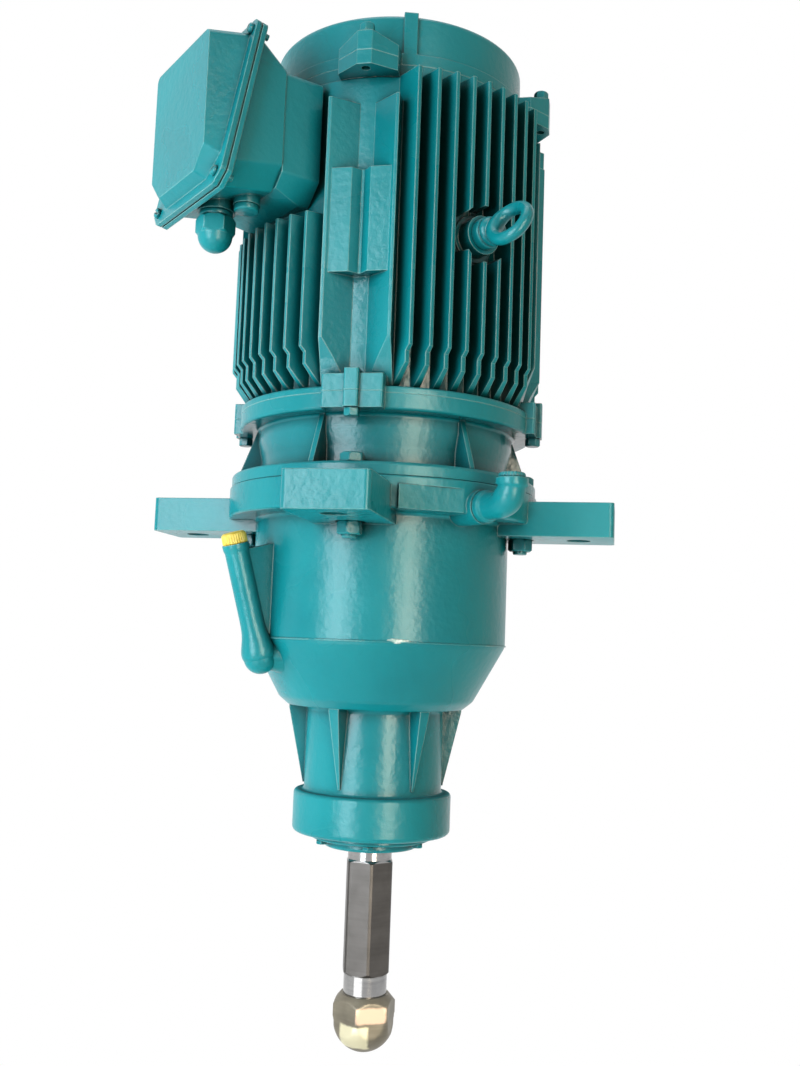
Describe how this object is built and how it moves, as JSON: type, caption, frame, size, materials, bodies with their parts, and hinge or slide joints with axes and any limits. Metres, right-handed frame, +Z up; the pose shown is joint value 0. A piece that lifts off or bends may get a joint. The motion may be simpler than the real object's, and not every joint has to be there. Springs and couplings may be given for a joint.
{
  "type": "planetary gear reducer with finned motor",
  "caption": "Vertical planetary gear reducer with a flanged, ribbed housing and four mounting arms, a finned electric motor on top and a shaft that points down.",
  "frame": {"origin": "on the shaft axis, in the plane of the undersides of the mounting arms", "axes": "+Z up along the shaft axis, towards the motor; -Y is the side with the arm next to the flat pad"},
  "size_m": [0.47, 0.47, 1.0018],
  "materials": {
    "teal_paint": "semi-gloss machinery enamel",
    "yellow_plastic": "moulded",
    "gear_steel": "ground teeth",
    "ground_steel": "ground",
    "black_steel": "blackened",
    "dark_steel": "turned, with a dark dry film",
    "aged_bronze": "cast, dull olive",
    "bronze": "machined",
    "cast_iron": "machined casting",
    "lamination_steel": "stacked sheets",
    "copper": "varnished wire",
    "cast_aluminium": "die cast",
    "seal_rubber": "matt",
    "dark_plastic": "moulded"
  },
  "bodies": {
    "casing": {"gear_housing": "teal_paint", "drive_end_shield": "teal_paint", "motor_frame": "teal_paint", "top_end_shield": "teal_paint", "terminal_box_base": "teal_paint", "terminal_box_lid": "teal_paint", "flange_bolts": "teal_paint", "flange_nuts": "teal_paint", "drive_shield_bolts": "teal_paint", "top_shield_bolts": "teal_paint", "seal_cover": "teal_paint", "seal_cover_bolts": "teal_paint", "terminal_box_lid_screws": "teal_paint", "lifting_eyebolt": "teal_paint", "oil_elbow": "teal_paint", "oil_drain_plug": "teal_paint", "cable_gland_body": "teal_paint", "cable_gland_cap": "teal_paint", "entry_blanking_plug": "teal_paint", "breather_plug": "teal_paint", "oil_filler_plug": "yellow_plastic", "ring_gear": "gear_steel", "ring_gear_dowels": "ground_steel", "ring_gear_retainer": "ground_steel", "output_bearing_outer_rings": "ground_steel", "output_oil_seal": "seal_rubber", "motor_shaft_seal": "seal_rubber", "terminal_box_gasket": "seal_rubber", "stator_core": "lamination_steel", "stator_windings": "copper", "motor_bearing_outer_rings": "ground_steel", "bearing_spring_ring": "ground_steel", "terminal_box_base_screws": "ground_steel", "terminal_board": "dark_plastic", "terminal_studs": "bronze"},
    "rotor": {"rotor_shaft": "ground_steel", "rotor_core": "lamination_steel", "rotor_end_rings": "cast_aluminium", "motor_bearing_inner_rings": "ground_steel", "sun_gear": "gear_steel", "sun_gear_key": "ground_steel", "sun_gear_washer": "ground_steel", "sun_gear_screw": "black_steel"},
    "output": {"planet_carrier": "cast_iron", "carrier_bolts": "black_steel", "planet_pins": "ground_steel", "planet_bushes": "bronze", "planet_thrust_washers": "bronze", "output_shaft": "dark_steel", "output_bearing_inner_rings": "ground_steel", "bearing_spacer": "ground_steel", "bearing_lock_nut": "black_steel", "cap_nut": "aged_bronze"},
    "planet_1": {"planet_gear_1": "gear_steel"},
    "planet_2": {"planet_gear_2": "gear_steel"},
    "planet_3": {"planet_gear_3": "gear_steel"},
    "motor_balls": {"motor_bearing_ball_sets": "ground_steel"},
    "output_rollers": {"output_bearing_rollers": "ground_steel"}
  },
  "joints": [
    {"name": "rotor_spin", "type": "hinge", "parent": "casing", "child": "rotor", "pos_m": [0, 0, 0.28], "axis": [0, 0, 1], "continuous": true},
    {"name": "output_spin", "type": "hinge", "parent": "casing", "child": "output", "pos_m": [0, 0, -0.2], "axis": [0, 0, 1], "continuous": true},
    {"name": "planet_1_spin", "type": "hinge", "parent": "output", "child": "planet_1", "pos_m": [0.063, 0, -0.048], "axis": [0, 0, 1], "continuous": true},
    {"name": "planet_2_spin", "type": "hinge", "parent": "output", "child": "planet_2", "pos_m": [-0.0315, 0.05456, -0.048], "axis": [0, 0, 1], "continuous": true},
    {"name": "planet_3_spin", "type": "hinge", "parent": "output", "child": "planet_3", "pos_m": [-0.0315, -0.05456, -0.048], "axis": [0, 0, 1], "continuous": true},
    {"name": "motor_balls_spin", "type": "hinge", "parent": "casing", "child": "motor_balls", "pos_m": [0, 0, 0.26], "axis": [0, 0, 1], "continuous": true},
    {"name": "output_rollers_spin", "type": "hinge", "parent": "casing", "child": "output_rollers", "pos_m": [0, 0, -0.2], "axis": [0, 0, 1], "continuous": true}
  ],
  "couplings": [
    {"joint": "output_spin", "follows": "rotor_spin", "ratio": 0.22222},
    {"joint": "motor_balls_spin", "follows": "rotor_spin", "ratio": 0.38138},
    {"joint": "output_rollers_spin", "follows": "rotor_spin", "ratio": 0.096832},
    {"joint": "planet_1_spin", "follows": "rotor_spin", "ratio": -0.62222},
    {"joint": "planet_2_spin", "follows": "rotor_spin", "ratio": -0.62222},
    {"joint": "planet_3_spin", "follows": "rotor_spin", "ratio": -0.62222}
  ]
}
